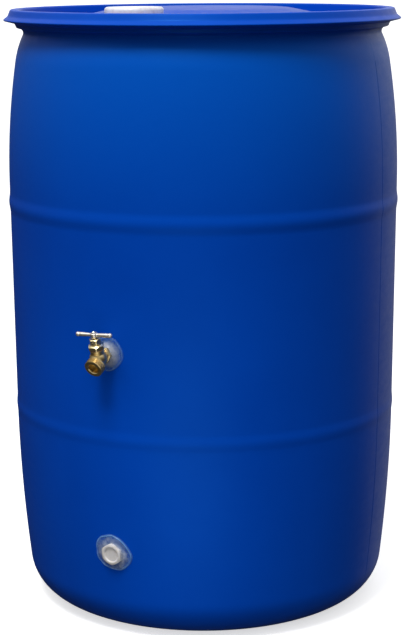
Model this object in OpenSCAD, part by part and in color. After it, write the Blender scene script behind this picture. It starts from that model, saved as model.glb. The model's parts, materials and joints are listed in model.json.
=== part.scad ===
// Rain barrel: a closed plastic drum with two bungs in its head, a brass tap with a tee handle
// and a plastic drain plug, both screwed through the wall and sealed with silicone.
// The drum stands on Z = 0 with its axis on Z. The tap, the drain plug and the inlet bung lie on
// the -Y side, and the rear bung is opposite, on the +Y side.

/* [Drum] */
// Height of the rim's top face above the ground
drum_height = 889; // [880:1:900]
// Outer radius of the wall at its lower, widest height
wall_low_r = 288.7; // [286:0.1:290]
// Outer radius of the wall under the shoulder
wall_high_r = 291; // [289:0.1:292]
// Thickness of the blow-moulded wall
wall = 4; // [3:0.1:5]
// Height of the upper rolling hoop's crest over the wall
hoop_high_h = 1.7; // [0.5:0.1:3]
// Height of the lower rolling hoop's crest over the wall
hoop_low_h = 0.9; // [0.3:0.1:2]
// How far the middle of the base is raised over the standing ring
base_rise = 10; // [6:1:14]

/* [Head] */
// Radius of the raised plateau in the middle of the head
plateau_r = 133; // [125:1:137]
// Height of the plateau's crown over the rim
crown_h = 2.2; // [0:0.1:3]
// Depth of the gutter inside the rim
gutter_depth = 18.2; // [16:0.1:20]
// Distance of both bungs from the drum's axis
bung_offset = 200; // [198:1:202]

/* [Bungs] */
// Radius of the inlet bung's thread, a 70 mm thread with a 6 mm pitch
inlet_thread_r = 35; // [34.5:0.1:35.5]
// Radius of the inlet bung's flange
inlet_flange_r = 41; // [40.5:0.1:42]
// Height of the inlet bung's top over the rim
inlet_stand = 6.5; // [6:0.1:8]
// Radius of the rear bung's thread, a 2 inch pipe thread
rear_thread_r = 29.8; // [29.5:0.1:30]
// Radius of the rear bung's flange
rear_flange_r = 36; // [35.5:0.1:37]

/* [Tap] */
// Height of the tap's shank above the ground
tap_z = 424; // [400:1:450]
// Radius of the half-inch pipe thread on the tap's shank
shank_r = 10.6; // [10.4:0.1:10.8]
// Distance of the valve's centre from the wall
valve_out = 22.5; // [21:0.5:25]
// Lean of the stem from upright, away from the wall
stem_lean = 17; // [12:1:20]
// Droop of the spout below level
spout_droop = 28; // [24:1:32]
// Radius of the three-quarter-inch hose thread on the spout
hose_r = 13.45; // [13.3:0.05:13.5]
// Distance of the middle of the spout's mouth from the wall
spout_out = 37; // [36:0.5:40]
// How far the middle of the spout's mouth lies below the shank's axis
spout_drop = 14; // [12:0.5:15]
// Length of the tee handle from end to end
tee_length = 55.5; // [50:0.5:60]
// Turn of the tee handle at rest, with the valve shut
tee_turn = 5; // [0:1:20]

/* [Drain plug] */
// Height of the drain plug above the ground
drain_z = 130; // [115:0.5:150]
// Radius of the three-quarter-inch pipe thread on the drain plug
drain_thread_r = 13.2; // [13:0.1:13.3]
// Distance across the flats of the drain plug's head
drain_head_flats = 30; // [28:0.5:31]
// How far the drain plug's head stands out of the wall
drain_head_out = 8; // [7:0.5:12]

/* [Sealant] */
// Radius of the sealant around the tap's shank
tap_seal_r = 26.5; // [24:0.5:28]
// Mean radius of the drain sealant
drain_seal_r = 29; // [28:0.5:30]
// How much the drain sealant is drawn out sideways
drain_seal_stretch = 2; // [0:0.1:4]
// How far the drain sealant is spread towards its upper left
drain_seal_shift = 1; // [0:0.1:3]

/* [Hidden] */
$fn = 96;
// The drum is so wide that it takes more sides to be as round as the small pieces
drum_sides = 480;

// A shaft turns in its hole with this much radial room
running_room = 0.05;
// Cuts run this far past the faces that they open
past = 1;

// ---- Drum outline: arcs that run into each other along common tangents ----

// The lower wall is a long arc that ends in a tight corner at the standing ring
low_curve_z = 315;
low_curve_r = 2350;
foot_r = 64;
foot_turn = asin((low_curve_z - foot_r) / (low_curve_r - foot_r));
low_centre = [wall_low_r - low_curve_r, low_curve_z];
foot_centre = low_centre + (low_curve_r - foot_r) * [cos(foot_turn), -sin(foot_turn)];
ring_in_r = 204;
base_slope_w = 12;

// The upper wall is a long arc that tightens into the shoulder and then the neck
high_curve_z = drum_height - 249;
high_curve_r = 1100;
high_turn = 9;
shoulder_r = 140;
shoulder_turn = 26.2;
neck_r = 7;
high_centre = [wall_high_r - high_curve_r, high_curve_z];
shoulder_centre = high_centre + (high_curve_r - shoulder_r) * [cos(high_turn), sin(high_turn)];
neck_centre = shoulder_centre + (shoulder_r + neck_r) * [cos(shoulder_turn), sin(shoulder_turn)];

// The rim is an L-shaped ring: a step over the neck, a thin lip that flares out over the step, and
// over the lip a steep outer face with a well rounded top edge
step_foot = [273.8, drum_height - 26.4];
step_top = [276.4, drum_height - 20];
lip_centre = [290.8, drum_height - 15];
lip_r = 1.4;
lip_slope = 14;
lip_top_normal = 49;
face_foot = [286, drum_height - 9.5];
face_normal = 21.8;
rim_edge_r = 5;
rim_in_edge_r = 3;
rim_in_r = 269.5;
rim_edge_z = drum_height - rim_edge_r;
rim_edge_x = (face_foot * [cos(face_normal), sin(face_normal)] - rim_edge_r
    - rim_edge_z * sin(face_normal)) / cos(face_normal);

// Rolling hoops
hoop_high_z = drum_height - 281;
hoop_high_w = 16;
hoop_low_z = 300;
hoop_low_w = 14;
hoop_steps = 8;

// Head, from the gutter up a skirt to the crowned plateau
gutter_z = drum_height - gutter_depth;
gutter_r = 5;
skirt_r = 216;
plateau_edge_z = drum_height - 0.8;
plateau_bevel = 7;
plateau_bevel_h = 1.2;
crown_z = drum_height + crown_h;
inner_corner_r = 8;

// ---- Bungs ----

inlet_neck_r = 39.5;
inlet_neck_z = drum_height - 7;
inlet_neck_bottom = drum_height - 42;
inlet_pocket_r = 47;
inlet_gasket_h = 2.5;
inlet_top_z = drum_height + inlet_stand;
inlet_skirt_bottom = inlet_neck_z - 18;
inlet_skirt_in = 31;
inlet_edge_r = 4.5;
rear_neck_r = 34;
rear_neck_z = drum_height - 15.5;
rear_neck_bottom = drum_height - 42;
rear_pocket_r = 42;
rear_gasket_h = 2.2;
rear_top_z = drum_height - 5.5;
rear_skirt_bottom = rear_neck_z - 12;
rear_skirt_in = 26;
rear_edge_r = 2;
bung_top_t = 3.5;

// ---- Tap: every height below is measured along the stem, or out from the wall ----

straight_top_z = hoop_high_z - hoop_high_w;
straight_top_r = wall_high_r - 0.3;
tap_wall_r = wall_low_r + (straight_top_r - wall_low_r) * (tap_z - low_curve_z)
    / (straight_top_z - low_curve_z);
shank_in = 14;
wrench_out = 5;
wrench_h = 7;
wrench_flats = 22;
body_tube_r = 9.6;
globe_r = 12.5;
globe_drop = 1;
inlet_bore_r = 3.8;
inlet_bore_past = 1;
seat_r = 4.2;
seat_floor_t = 4;
seat_lip_w = 1.4;
seat_t = 5.2;
chamber_r = 7.2;
bonnet_thread_r = 8.6;
bonnet_bottom_t = 9;
body_top_t = 13.5;
body_neck_r = 10;
spout_root_r = 12;
spout_root_h = 18;
hose_thread_h = 9.5;
spout_bore_r = 7.5;
spout_bore_h = 12;
port_r = 1.9;
port_side = 7.6;
port_bottom_t = -9;
port_top_t = 6;
bonnet_washer_h = 1;
bonnet_washer_r = 10;
bonnet_hex_flats = 21;
bonnet_hex_top_t = 21;
bonnet_top_t = 26.5;
bonnet_top_r = 5.8;
bonnet_cup_r = 7;
bonnet_cup_top_t = 15.5;
stem_thread_r = 4.45;
stem_thread_bore_top_t = 24;
stem_r = 2.95;
washer_r = 6.2;
washer_h = 3.2;
washer_hole_r = 1.75;
cup_r = 6.6;
cup_top_t = 10.2;
stem_neck_r = 3.4;
stem_thread_bottom_t = 11.4;
stem_thread_top_t = 19.2;
stem_square_t = 31.5;
stem_square = 4.1;
stem_top_t = 38;
washer_screw_r = 1.6;
washer_screw_top_t = 13.5;
washer_screw_head_r = 2.8;
washer_screw_head_h = 1.6;
nut_bottom_t = 22.5;
nut_top_t = 30;
nut_flats = 15;
packing_h = 2;
hub_top_t = 38.5;
hub_r = 5.4;
arm_t = 35.2;
arm_root_r = 2.5;
arm_tip_r = 3.2;
knob_r = 3.6;
handle_screw_r = 1.4;
handle_screw_head_r = 3.2;
handle_screw_head_h = 2.2;
handle_screw_bottom_t = 33.5;

// ---- Drain plug ----

drain_wall_r = low_centre[0] + sqrt(pow(low_curve_r, 2) - pow(drain_z - low_curve_z, 2));
drain_tilt = asin((low_curve_z - drain_z) / low_curve_r);
drain_in = 14;
drain_head_bottom = 1;
drain_recess_r = 9.5;
drain_recess_h = 2.5;
drain_core_top = 3;
tape_h = 8.5;
tape_t = 0.3;
tape_setback = 0.4;
drain_seal_t = 3;
seal_sink = 6;

// ---- Shared outlines and forms ----

function polar(centre, r, a) = centre + r * [cos(a), sin(a)];

function arc(centre, r, from, to, steps) =
    [for (i = [0:steps]) polar(centre, r, from + (to - from) * i / steps)];

// A low rounded ridge around the wall, whose foot runs from one radius to another
function ridge(z, half_w, foot_low_r, foot_high_r, h) =
    [for (i = [0:hoop_steps]) let (t = 2 * i / hoop_steps - 1)
        [foot_low_r + (foot_high_r - foot_low_r) * (t + 1) / 2 + h * (1 + cos(180 * t)) / 2,
         z + half_w * t]];

low_hoop_turn = asin((low_curve_z - hoop_low_z + hoop_low_w) / low_curve_r);

outer_outline = concat(
    [[0, base_rise], [ring_in_r - base_slope_w, base_rise], [ring_in_r, 0]],
    arc(foot_centre, foot_r, -90, -foot_turn, 10),
    arc(low_centre, low_curve_r, -foot_turn * 0.9, -low_hoop_turn * 1.1, 9),
    ridge(hoop_low_z, hoop_low_w, wall_low_r - 0.15, wall_low_r, hoop_low_h),
    [[wall_low_r, low_curve_z]],
    ridge(hoop_high_z, hoop_high_w, straight_top_r, wall_high_r - 0.1, hoop_high_h),
    arc(high_centre, high_curve_r, 0, high_turn * 0.9, 9),
    arc(shoulder_centre, shoulder_r, high_turn, shoulder_turn, 6),
    arc(neck_centre, neck_r, 180 + shoulder_turn, 95, 8),
    [step_foot, step_top],
    arc(lip_centre, lip_r, lip_slope - 90, lip_top_normal, 6),
    [face_foot],
    arc([rim_edge_x, rim_edge_z], rim_edge_r, face_normal, 90, 6),
    arc([rim_in_r + rim_in_edge_r, drum_height - rim_in_edge_r], rim_in_edge_r, 90, 180, 6),
    arc([rim_in_r - gutter_r, gutter_z + gutter_r], gutter_r, 0, -90, 6),
    [[skirt_r, gutter_z], [plateau_r, plateau_edge_z],
     [plateau_r - plateau_bevel, plateau_edge_z + plateau_bevel_h], [0, crown_z]]);

inner_corner_z = gutter_z - wall - inner_corner_r;
inner_corner_x = (polar(shoulder_centre, shoulder_r - wall, shoulder_turn)
    * [cos(shoulder_turn), sin(shoulder_turn)] - inner_corner_r
    - inner_corner_z * sin(shoulder_turn)) / cos(shoulder_turn);

inner_outline = concat(
    [[0, base_rise + wall], [ring_in_r - base_slope_w + wall / 2, base_rise + wall],
     [ring_in_r + wall / 2, wall]],
    arc(foot_centre, foot_r - wall, -90, -foot_turn, 10),
    arc(low_centre, low_curve_r - wall, -foot_turn * 0.9, 0, 9),
    arc(high_centre, high_curve_r - wall, 0, high_turn * 0.9, 9),
    arc(shoulder_centre, shoulder_r - wall, high_turn, shoulder_turn, 6),
    arc([inner_corner_x, inner_corner_z], inner_corner_r, shoulder_turn, 90, 6),
    [[skirt_r, gutter_z - wall], [plateau_r, plateau_edge_z - wall],
     [plateau_r - plateau_bevel, plateau_edge_z + plateau_bevel_h - wall],
     [0, crown_z - wall]]);

module drum_outside() rotate_extrude($fn = drum_sides) polygon(outer_outline);

module drum_inside() rotate_extrude($fn = drum_sides) polygon(inner_outline);

// A ring about Z, from one height to another
module ring(in_r, out_r, bottom, top) {
    translate([0, 0, bottom]) difference() {
        cylinder(r = out_r, h = top - bottom);
        translate([0, 0, -past]) cylinder(r = in_r, h = top - bottom + 2 * past);
    }
}

module rod(r, bottom, top) translate([0, 0, bottom]) cylinder(r = r, h = top - bottom);

module hex_rod(flats, bottom, top) {
    translate([0, 0, bottom]) cylinder(r = flats / 2 / cos(30), h = top - bottom, $fn = 6);
}

module square_rod(side, bottom, top) {
    translate([-side / 2, -side / 2, bottom]) cube([side, side, top - bottom]);
}

// A hexagonal nut or head whose corners are turned down by a cone at its top end
module turned_hex(flats, bottom, top) {
    corner_r = flats / 2 / cos(30);
    face_r = flats / 2 * 0.96;
    intersection() {
        hex_rod(flats, bottom, top);
        rotate_extrude() polygon([[0, bottom], [corner_r, bottom],
            [corner_r, top - (corner_r - face_r) * tan(30)], [face_r, top], [0, top]]);
    }
}

// Places for the groups of pieces
module at_inlet() translate([0, -bung_offset, 0]) children();
module at_rear() translate([0, bung_offset, 0]) children();
module out_of_wall() translate([0, -tap_wall_r, tap_z]) rotate([90, 0, 0]) children();
module along_stem() {
    out_of_wall() translate([0, 0, valve_out]) rotate([stem_lean - 90, 0, 0]) children();
}
// The spout is measured from its mouth, so that all of it lies at negative heights
module along_spout() {
    out_of_wall() translate([0, -spout_drop, spout_out]) rotate([spout_droop, 0, 0]) children();
}
module at_drain() {
    translate([0, -drain_wall_r, drain_z]) rotate([90 + drain_tilt, 0, 0]) children();
}

// ---- Drum ----

// The space for a bung's pocket, which widens and sinks by the wall's thickness for its outside
module pocket(pocket_r, sink) rod(pocket_r + sink, gutter_z - sink, crown_z + past);

module drum_shell() {
    color([0, 0.16, 0.52]) difference() {
        union() {
            difference() {
                drum_outside();
                difference() {
                    drum_inside();
                    at_inlet() pocket(inlet_pocket_r, wall);
                    at_rear() pocket(rear_pocket_r, wall);
                }
                at_inlet() pocket(inlet_pocket_r, 0);
                at_rear() pocket(rear_pocket_r, 0);
            }
            at_inlet() rod(inlet_neck_r, inlet_neck_bottom, inlet_neck_z);
            at_rear() rod(rear_neck_r, rear_neck_bottom, rear_neck_z);
        }
        at_inlet() rod(inlet_thread_r + running_room, inlet_neck_bottom - past, crown_z);
        at_rear() rod(rear_thread_r + running_room, rear_neck_bottom - past, crown_z);
        out_of_wall() rod(shank_r + tape_t, -shank_in, past);
        at_drain() rod(drain_thread_r + tape_t, -drain_in, past);
    }
}

// ---- Bungs ----

// A hollow screw bung: a threaded skirt, a flange with a rounded edge, and a recess across
// which two bars stand for a bung wrench
module bung(thread_r, skirt_in, skirt_bottom, flange_r, flange_bottom, top, edge_r) {
    recess_r = skirt_in - bung_top_t;
    recess_floor = flange_bottom + bung_top_t - 1;
    bar_w = 5;
    bar_top = top - 2;
    difference() {
        union() {
            rod(thread_r, skirt_bottom, flange_bottom);
            rotate_extrude() polygon(concat([[0, flange_bottom], [flange_r, flange_bottom]],
                arc([flange_r - edge_r, top - edge_r], edge_r, 0, 90, 6), [[0, top]]));
        }
        rod(skirt_in, skirt_bottom - past, recess_floor - bung_top_t);
        difference() {
            rod(recess_r, recess_floor, top + past);
            for (turn = [0, 90]) rotate(turn)
                translate([-recess_r - past, -bar_w / 2, recess_floor - past])
                    cube([2 * (recess_r + past), bar_w, bar_top - recess_floor + past]);
        }
    }
}

module inlet_bung() {
    color("white") at_inlet()
        bung(inlet_thread_r, inlet_skirt_in, inlet_skirt_bottom, inlet_flange_r,
            inlet_neck_z + inlet_gasket_h, inlet_top_z, inlet_edge_r);
}

module inlet_gasket() {
    color("dimgray") at_inlet()
        ring(inlet_thread_r + 0.3, inlet_neck_r - 0.3, inlet_neck_z,
            inlet_neck_z + inlet_gasket_h);
}

module rear_bung() {
    color("white") at_rear()
        bung(rear_thread_r, rear_skirt_in, rear_skirt_bottom, rear_flange_r,
            rear_neck_z + rear_gasket_h, rear_top_z, rear_edge_r);
}

module rear_gasket() {
    color("dimgray") at_rear()
        ring(rear_thread_r + 0.3, rear_neck_r - 0.3, rear_neck_z, rear_neck_z + rear_gasket_h);
}

// ---- Tap ----

module tap_body() {
    color([0.78, 0.6, 0.25]) difference() {
        union() {
            out_of_wall() {
                rod(shank_r, -shank_in, wrench_out);
                hex_rod(wrench_flats, wrench_out, wrench_out + wrench_h);
                rod(body_tube_r, wrench_out + wrench_h, valve_out);
                translate([0, -globe_drop, valve_out]) sphere(r = globe_r);
            }
            along_stem() rod(body_neck_r, 0, body_top_t);
            along_spout() {
                rod(spout_root_r, -spout_root_h, -hose_thread_h);
                rod(hose_r, -hose_thread_h, 0);
            }
        }
        out_of_wall() rod(inlet_bore_r, -shank_in - past, valve_out + inlet_bore_past);
        along_stem() {
            rod(seat_r, 0, seat_t + past);
            difference() {
                rod(chamber_r, seat_floor_t, body_top_t + past);
                rod(seat_r + seat_lip_w, seat_floor_t - past, seat_t);
            }
            rod(bonnet_thread_r, bonnet_bottom_t, body_top_t + past);
            // The port that lets water down from the valve chamber into the spout
            translate([0, -port_side, 0]) rod(port_r, port_bottom_t, port_top_t);
        }
        along_spout() rod(spout_bore_r, -spout_bore_h, past);
    }
}

module bonnet_washer() {
    color([0.45, 0.2, 0.12]) along_stem()
        ring(bonnet_thread_r, bonnet_washer_r, body_top_t, body_top_t + bonnet_washer_h);
}

module bonnet() {
    color([0.78, 0.6, 0.25]) along_stem() difference() {
        union() {
            rod(bonnet_thread_r, bonnet_bottom_t, body_top_t + bonnet_washer_h);
            turned_hex(bonnet_hex_flats, body_top_t + bonnet_washer_h, bonnet_hex_top_t);
            rod(bonnet_top_r, bonnet_hex_top_t, bonnet_top_t);
        }
        rod(bonnet_cup_r, bonnet_bottom_t - past, bonnet_cup_top_t);
        rod(stem_thread_r + running_room, bonnet_cup_top_t - past, stem_thread_bore_top_t);
        rod(stem_r + running_room, stem_thread_bore_top_t - past, bonnet_top_t + past);
    }
}

module stem() {
    color([0.72, 0.54, 0.22]) along_stem() difference() {
        union() {
            rod(cup_r, seat_t + washer_h, cup_top_t);
            rod(stem_neck_r, cup_top_t, stem_thread_bottom_t);
            rod(stem_thread_r, stem_thread_bottom_t, stem_thread_top_t);
            rod(stem_r, stem_thread_top_t, stem_square_t);
            rotate(tee_turn) square_rod(stem_square, stem_square_t - past, stem_top_t);
        }
        rod(washer_screw_r, seat_t, washer_screw_top_t);
        rod(handle_screw_r, handle_screw_bottom_t, stem_top_t + past);
    }
}

module seat_washer() {
    color("black") along_stem() ring(washer_hole_r, washer_r, seat_t, seat_t + washer_h);
}

module washer_screw() {
    color([0.72, 0.54, 0.22]) along_stem() {
        rod(washer_screw_r, seat_t, washer_screw_top_t);
        rod(washer_screw_head_r, seat_t - washer_screw_head_h, seat_t);
    }
}

module packing_ring() {
    color("dimgray") along_stem()
        ring(stem_r + running_room, bonnet_top_r, bonnet_top_t, bonnet_top_t + packing_h);
}

module packing_nut() {
    color([0.8, 0.63, 0.3]) along_stem() difference() {
        turned_hex(nut_flats, nut_bottom_t, nut_top_t);
        rod(bonnet_top_r, nut_bottom_t - past, bonnet_top_t + packing_h);
        rod(stem_r + 3 * running_room, nut_bottom_t, nut_top_t + past);
    }
}

module tee_handle() {
    knob_x = tee_length / 2 - knob_r;
    color([0.82, 0.68, 0.4]) along_stem() rotate(tee_turn) difference() {
        union() {
            rod(hub_r, stem_square_t, hub_top_t);
            for (side = [-1, 1]) {
                translate([0, 0, arm_t]) rotate([0, 90 * side, 0])
                    cylinder(r1 = arm_root_r, r2 = arm_tip_r, h = knob_x);
                translate([side * knob_x, 0, arm_t]) sphere(r = knob_r);
            }
        }
        square_rod(stem_square, stem_square_t - past, hub_top_t + past);
    }
}

module handle_screw() {
    color([0.7, 0.7, 0.68]) along_stem() {
        rod(handle_screw_r, handle_screw_bottom_t, hub_top_t);
        intersection() {
            rod(handle_screw_head_r, hub_top_t, hub_top_t + handle_screw_head_h);
            translate([0, 0, hub_top_t - 1.5])
                sphere(r = handle_screw_head_h + 1.5);
        }
    }
}

module tap_thread_tape() {
    color("white") out_of_wall()
        ring(shank_r, shank_r + tape_t, -tape_h, -tape_setback);
}

module tap_sealant() {
    color([0.5, 0.58, 0.7, 0.8]) difference() {
        out_of_wall() rotate_extrude() polygon([[0, -seal_sink], [tap_seal_r, -seal_sink],
            [tap_seal_r, 0.6], [tap_seal_r - 3, 2.6], [16, 7.5], [13, 8.5], [0, 8.5]]);
        drum_outside();
        out_of_wall() {
            rod(shank_r, -seal_sink - past, wrench_out);
            hex_rod(wrench_flats, wrench_out, wrench_out + wrench_h);
        }
    }
}

// ---- Drain plug ----

module drain_plug() {
    color([0.85, 0.83, 0.75]) at_drain() rotate(90) difference() {
        union() {
            rod(drain_thread_r, -drain_in, drain_head_bottom);
            turned_hex(drain_head_flats, drain_head_bottom, drain_head_out);
        }
        rod(drain_recess_r, -drain_in - past, drain_core_top);
        rod(drain_recess_r, drain_head_out - drain_recess_h, drain_head_out + past);
    }
}

module drain_thread_tape() {
    color("white") at_drain()
        ring(drain_thread_r, drain_thread_r + tape_t, -tape_h, -tape_setback);
}

// The uneven outline of the sealant that a finger has spread around the drain plug
smear_outline = [for (a = [0:10:350])
    let (ripple = 0.5 * cos(3 * a + 50) + 0.5 * cos(5 * a))
    polar([0, 0], drain_seal_r + drain_seal_stretch * cos(2 * (a + 22))
        + drain_seal_shift * cos(a - 130) + ripple, a)];

module drain_sealant() {
    color([0.5, 0.58, 0.7, 0.8]) difference() {
        at_drain() {
            translate([0, 0, -seal_sink]) linear_extrude(drain_seal_t + seal_sink)
                polygon(smear_outline);
            translate([0, 0, drain_seal_t])
                cylinder(r1 = 21, r2 = 18, h = 2);
        }
        drum_outside();
        at_drain() {
            rod(drain_thread_r, -seal_sink - past, drain_head_bottom);
            rotate(90) hex_rod(drain_head_flats, drain_head_bottom, drain_head_out);
        }
    }
}

drum_shell();
inlet_bung();
inlet_gasket();
rear_bung();
rear_gasket();
tap_body();
bonnet_washer();
bonnet();
stem();
seat_washer();
washer_screw();
packing_ring();
packing_nut();
tee_handle();
handle_screw();
tap_thread_tape();
tap_sealant();
drain_plug();
drain_thread_tape();
drain_sealant();
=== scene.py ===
"""The looks of a rain barrel: a blue plastic drum with two screw bungs in its head, a brass tap
with a tee handle and a plastic drain plug, both sealed into the wall with silicone.

Shapes are worked out in millimetres and become meshes in metres, in the frame of the CAD model:
+Z up, the drum's axis on Z, and the tap, the drain plug and the inlet bung on the -Y side.
"""

import json
import math

import bmesh
import bpy
import numpy as np
from mathutils import Matrix, Vector
from mathutils.geometry import delaunay_2d_cdt


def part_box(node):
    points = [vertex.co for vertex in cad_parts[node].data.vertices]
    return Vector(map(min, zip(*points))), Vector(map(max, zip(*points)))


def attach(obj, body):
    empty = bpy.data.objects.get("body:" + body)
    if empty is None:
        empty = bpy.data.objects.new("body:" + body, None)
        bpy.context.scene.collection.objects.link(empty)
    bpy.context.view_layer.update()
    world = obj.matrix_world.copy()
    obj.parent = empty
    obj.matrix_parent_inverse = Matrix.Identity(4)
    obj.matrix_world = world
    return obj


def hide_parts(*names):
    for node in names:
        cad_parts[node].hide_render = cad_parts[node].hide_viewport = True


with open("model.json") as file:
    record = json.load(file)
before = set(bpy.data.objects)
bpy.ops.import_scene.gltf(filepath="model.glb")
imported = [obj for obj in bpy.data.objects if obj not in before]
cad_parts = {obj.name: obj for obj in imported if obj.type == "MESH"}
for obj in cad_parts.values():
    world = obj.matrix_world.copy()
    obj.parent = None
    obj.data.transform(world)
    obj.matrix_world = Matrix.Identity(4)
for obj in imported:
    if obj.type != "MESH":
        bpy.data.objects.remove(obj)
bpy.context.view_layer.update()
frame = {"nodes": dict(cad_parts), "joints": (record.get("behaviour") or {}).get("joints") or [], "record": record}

MM = 0.001
TURN = 2 * math.pi
# Vertices closer than this, in metres, are one
WELD_DISTANCE = 2e-6
TINY = 1e-6
# Points of a profile whose radii differ less than this, in millimetres, are on one cylinder
SAME_R = 0.01
# The distance from the tap's valve to the wall, in millimetres
VALVE_OUT = 22.5


def rad(degrees):
    return math.radians(degrees)


# ---- Places and sizes that come from the frame, in millimetres ----

joints = {joint["name"]: joint for joint in frame["joints"]}
mounts = {mount["name"]: mount for mount in frame["record"]["mounts"]}


def low(node):
    return np.array(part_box(node)[0]) / MM


def high(node):
    return np.array(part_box(node)[1]) / MM


def middle(node):
    return (low(node) + high(node)) / 2


RIM_Z = mounts["rim_top"]["pos_m"][2] / MM
INLET_Y = middle("inlet_bung")[1]
REAR_Y = middle("rear_bung")[1]
STEM_AXIS = Vector(joints["handle_turn"]["axis"])
VALVE = Vector(joints["handle_turn"]["pos_m"]) / MM
TAP_WALL_R = -VALVE.y - VALVE_OUT
DRAIN_Z = middle("drain_plug")[2]

# ---- Materials ----


def node_adder(tree):
    """Empties a node tree, and returns a function that adds a node with set inputs to it."""
    tree.nodes.clear()

    def add(kind, inputs=None, **settings):
        node = tree.nodes.new(kind)
        for key, value in settings.items():
            setattr(node, key, value)
        for key, value in (inputs or {}).items():
            if isinstance(value, bpy.types.NodeSocket):
                tree.links.new(value, node.inputs[key])
            else:
                node.inputs[key].default_value = value
        return node

    return add


def new_material(name):
    """A new node material: its node adder, its object coordinates and a function that closes it."""
    material = bpy.data.materials.new(name)
    material.use_nodes = True
    add = node_adder(material.node_tree)

    def close(inputs):
        shader = add("ShaderNodeBsdfPrincipled", inputs)
        add("ShaderNodeOutputMaterial", {"Surface": shader.outputs[0]})
        return material

    return add, add("ShaderNodeTexCoord").outputs["Object"], close


def noise(add, coords, scale, detail=3, roughness=0.5, stretch=(1, 1, 1)):
    """A noise pattern at a scale in waves per metre, stretched along the object's axes."""
    mapping = add("ShaderNodeMapping", {"Vector": coords, "Scale": stretch})
    texture = add("ShaderNodeTexNoise", {
        "Vector": mapping.outputs["Vector"], "Scale": scale, "Detail": detail,
        "Roughness": roughness})
    return texture.outputs["Fac"]


def spread(add, value, low_out, high_out, low_in=0.3, high_in=0.7):
    """The value, spread from one range to another and held inside it."""
    node = add("ShaderNodeMapRange", {
        "Value": value, "From Min": low_in, "From Max": high_in,
        "To Min": low_out, "To Max": high_out})
    return node.outputs["Result"]


def blend_colours(add, factor, colour_a, colour_b):
    node = add("ShaderNodeMix", {"Factor": factor}, data_type="RGBA")
    for socket, colour in ((node.inputs[6], colour_a), (node.inputs[7], colour_b)):
        if isinstance(colour, bpy.types.NodeSocket):
            node.id_data.links.new(colour, socket)
        else:
            socket.default_value = (*colour, 1)
    return node.outputs[2]


def combined(add, operation, a, b):
    """Two values, or a value and a number, put together by a math operation."""
    return add("ShaderNodeMath", {0: a, 1: b}, operation=operation).outputs[0]


def bumped(add, *layers):
    """A normal from layers of (height, distance in metres, strength)."""
    normal = None
    for height, distance, strength in layers:
        inputs = {"Height": height, "Distance": distance, "Strength": strength}
        if normal is not None:
            inputs["Normal"] = normal
        normal = add("ShaderNodeBump", inputs).outputs["Normal"]
    return normal


def drum_material():
    """Blue blow-moulded polyethylene: soft sheen, vertical die lines, mottling and light scuffs.

    The shoulder under the rim has a painted sheen: a lighter, greener band that stands in for the light it catches
    from above.
    """
    add, coords, close = new_material("drum_polyethylene")
    mottle = noise(add, coords, 5, detail=4)
    die_lines = noise(add, coords, 60, detail=2, stretch=(1, 1, 0.015))
    grain = noise(add, coords, 900, detail=2)
    orange_peel = noise(add, coords, 130, detail=3)
    wear = noise(add, coords, 42, detail=8, roughness=0.72, stretch=(1, 1, 2.2))
    scuff = spread(add, wear, 0, 1, 0.68, 0.8)
    height = add("ShaderNodeSeparateXYZ", {"Vector": coords}).outputs["Z"]
    # Painted sheen: a lighter, greener band on the shoulder, where light from above falls
    painted_sheen_band = combined(add, "MULTIPLY", spread(add, height, 0, 1, 0.6, 0.82),
        spread(add, height, 1, 0, 0.835, 0.862))
    blue = blend_colours(add, spread(add, mottle, 0, 1), (0.0002, 0.058, 0.47), (0.0004, 0.068, 0.53))
    blue_with_painted_sheen = blend_colours(add, painted_sheen_band, blue, (0.0004, 0.093, 0.56))
    worn = blend_colours(add, combined(add, "MULTIPLY", scuff, 0.35), blue_with_painted_sheen, (0.05, 0.17, 0.62))
    return close({
        "Base Color": worn,
        "Roughness": spread(add, wear, 0.36, 0.5, 0.3, 0.75),
        "Specular IOR Level": 0.34,
        "Specular Tint": (0.06, 0.4, 1.0, 1),
        "Normal": bumped(add, (die_lines, 0.0012, 0.10), (orange_peel, 0.0006, 0.16),
            (grain, 0.00012, 0.25))})


def moulded_plastic(name, colour, stain, roughness, glow):
    """A smooth moulded plastic with faint staining and grain."""
    add, coords, close = new_material(name)
    stains = noise(add, coords, 90, detail=6, roughness=0.65)
    grain = noise(add, coords, 1200, detail=2)
    return close({
        "Base Color": blend_colours(add, spread(add, stains, 0, 1, 0.45, 0.75), colour, stain),
        "Roughness": spread(add, stains, roughness, roughness + 0.15),
        "Subsurface Weight": glow,
        "Subsurface Radius": (0.004, 0.003, 0.002),
        "Subsurface Scale": 1.0,
        "Normal": bumped(add, (stains, 0.0004, 0.12), (grain, 0.0001, 0.2))})


def brass_material(name, bright, tarnish, roughness, grain, grain_scale):
    """Brass: cast surfaces have a coarse grain and more tarnish, turned ones a fine grain."""
    add, coords, close = new_material(name)
    blotches = noise(add, coords, 120, detail=5, roughness=0.6)
    pits = noise(add, coords, grain_scale, detail=3)
    tarnished = blend_colours(add, spread(add, blotches, 0, 1, 0.42, 0.68), bright, tarnish)
    return close({
        "Base Color": tarnished,
        "Metallic": 1.0,
        "Roughness": spread(add, blotches, roughness, roughness + 0.16),
        "Normal": bumped(add, (blotches, 0.0006, grain), (pits, 0.0002, grain))})


def steel_material():
    """Plated steel with faint, fine marks."""
    add, coords, close = new_material("plated_steel")
    marks = noise(add, coords, 1500, detail=2)
    return close({
        "Base Color": blend_colours(add, marks, (0.9, 0.9, 0.8), (0.78, 0.76, 0.66)),
        "Metallic": 1.0,
        "Roughness": spread(add, marks, 0.2, 0.34),
        "Normal": bumped(add, (marks, 0.0001, 0.2))})


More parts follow.
